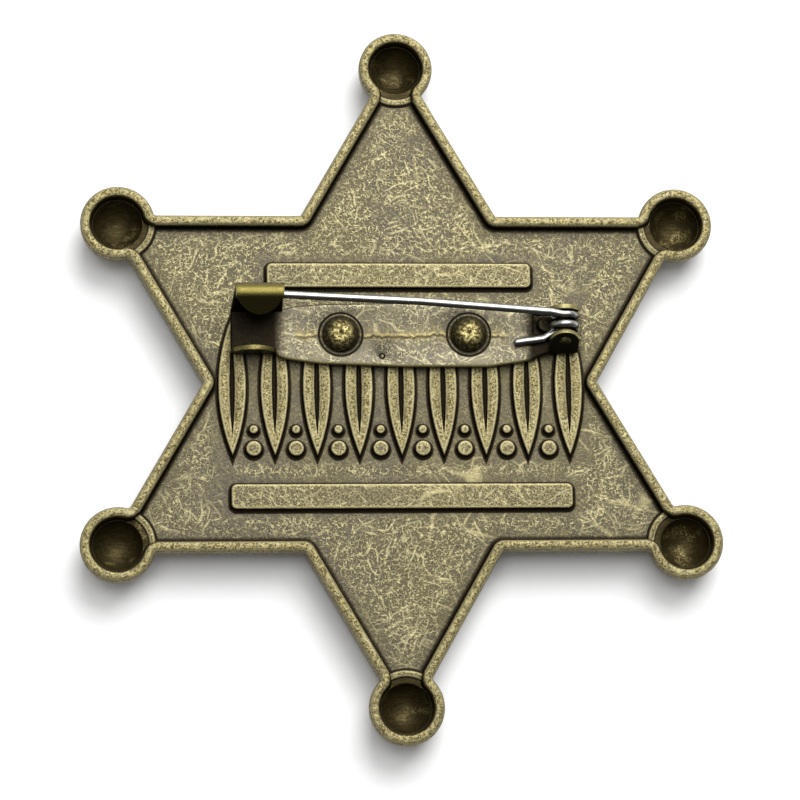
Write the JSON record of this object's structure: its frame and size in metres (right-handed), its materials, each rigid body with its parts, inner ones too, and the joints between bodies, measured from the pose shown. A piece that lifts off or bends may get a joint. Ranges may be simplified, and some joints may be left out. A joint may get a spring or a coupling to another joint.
{
  "type": "sheriff star badge",
  "caption": "Cast star badge with ball tips, a raised rim and relief on its back, and a riveted strip with a hook catch and a hinged coil-spring needle that fastens it to clothes.",
  "frame": {"origin": "middle of the star, at the height of the surface that the domes of the ball tips rest on", "axes": "+Z leaves the back of the badge, where the pin is, +Y points to the badge's top, +X to the right as seen from the pin side, where the needle is hinged"},
  "size_m": [0.0666, 0.0758, 0.0104],
  "materials": {
    "star_metal": "cast metal with a dark antique brass patina and worn, brighter edges",
    "strip_metal": "pressed sheet with a worn antique brass plating",
    "rivet_metal": "dark antique brass with a worn, hammered cap",
    "wire_metal": "bright nickel-plated spring steel"
  },
  "bodies": {
    "badge": {"star_body": "star_metal", "pin_strip": "strip_metal", "rivet_left": "rivet_metal", "rivet_right": "rivet_metal", "hinge_pin": "strip_metal", "coil_spring": "wire_metal"},
    "needle": {"pin_needle": "wire_metal"}
  },
  "joints": [
    {"name": "pin_swing", "type": "hinge", "parent": "badge", "child": "needle", "pos_m": [0.017, 0.00652, 0.00688], "axis": [0, 1, 0], "range_deg": [0, 60]}
  ]
}
